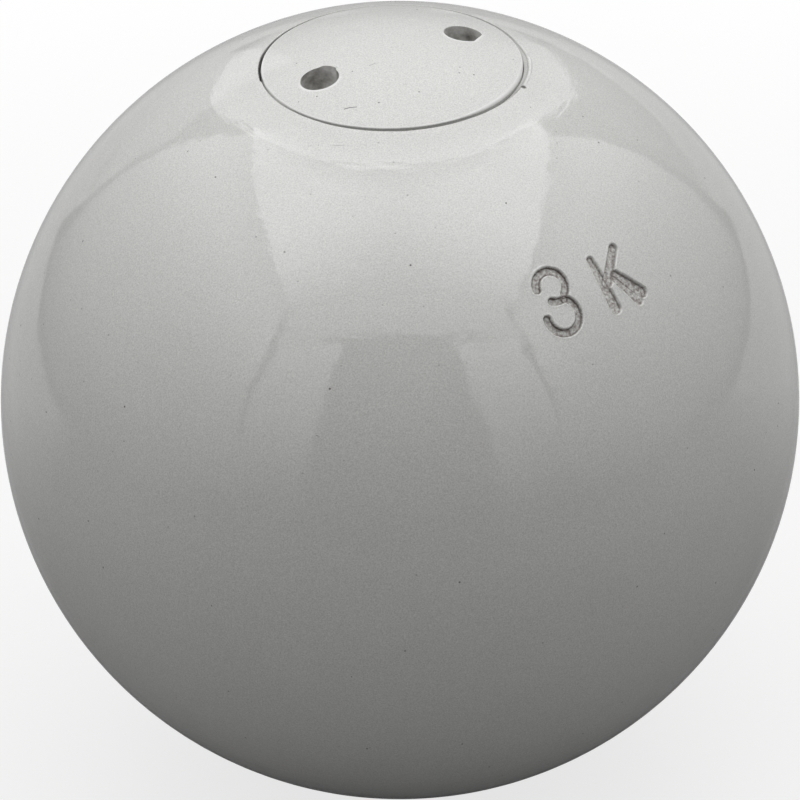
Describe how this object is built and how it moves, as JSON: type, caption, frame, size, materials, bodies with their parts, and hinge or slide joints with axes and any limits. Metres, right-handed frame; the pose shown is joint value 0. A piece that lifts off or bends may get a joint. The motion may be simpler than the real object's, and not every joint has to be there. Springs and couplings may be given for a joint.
{
  "type": "shot put",
  "caption": "Round iron shot for throwing, closed by a flush screwed plug with pin-spanner holes, and brought to weight by a lead pack held at its centre.",
  "frame": {"origin": "the centre of the ball, which is also its centre of mass to a tenth of a millimetre", "axes": "+Z along the filling plug's axis, out through the middle of the plug's face; -Y is the side that the picture is taken from"},
  "size_m": [0.094, 0.094, 0.094],
  "materials": {
    "enamelled_iron": "turned cast iron under a thick gloss white enamel with a faint orange peel",
    "enamelled_steel": "steel under the same gloss white enamel on its face, bare on its thread",
    "vulcanised_fibre": "matt dark red vulcanised fibre",
    "lead": null,
    "wool_felt": "pressed grey wool felt",
    "beech": "turned unfinished beech"
  },
  "bodies": {
    "ball": {"iron_shell": "enamelled_iron", "upper_wood_spacer": "beech", "upper_felt_pad": "wool_felt", "trim_disc_4": "lead", "trim_disc_3": "lead", "trim_disc_2": "lead", "trim_disc_1": "lead", "ballast_disc_6": "lead", "ballast_disc_5": "lead", "ballast_disc_4": "lead", "ballast_disc_3": "lead", "ballast_disc_2": "lead", "ballast_disc_1": "lead", "lower_felt_pad": "wool_felt", "lower_wood_spacer": "beech"},
    "washer": {"sealing_washer": "vulcanised_fibre"},
    "plug": {"filling_plug": "enamelled_steel"}
  },
  "joints": [
    {"name": "plug_rise", "type": "slide", "parent": "ball", "child": "washer", "axis": [0, 0, 1], "range_m": [0, 0.012]},
    {"name": "plug_unscrew", "type": "hinge", "parent": "washer", "child": "plug", "pos_m": [0, 0, 0.0336], "axis": [0, 0, 1], "range_deg": [0, 2160.5]}
  ],
  "couplings": [
    {"joint": "plug_unscrew", "follows": "plug_rise", "rad_per_m": 3141.6}
  ]
}
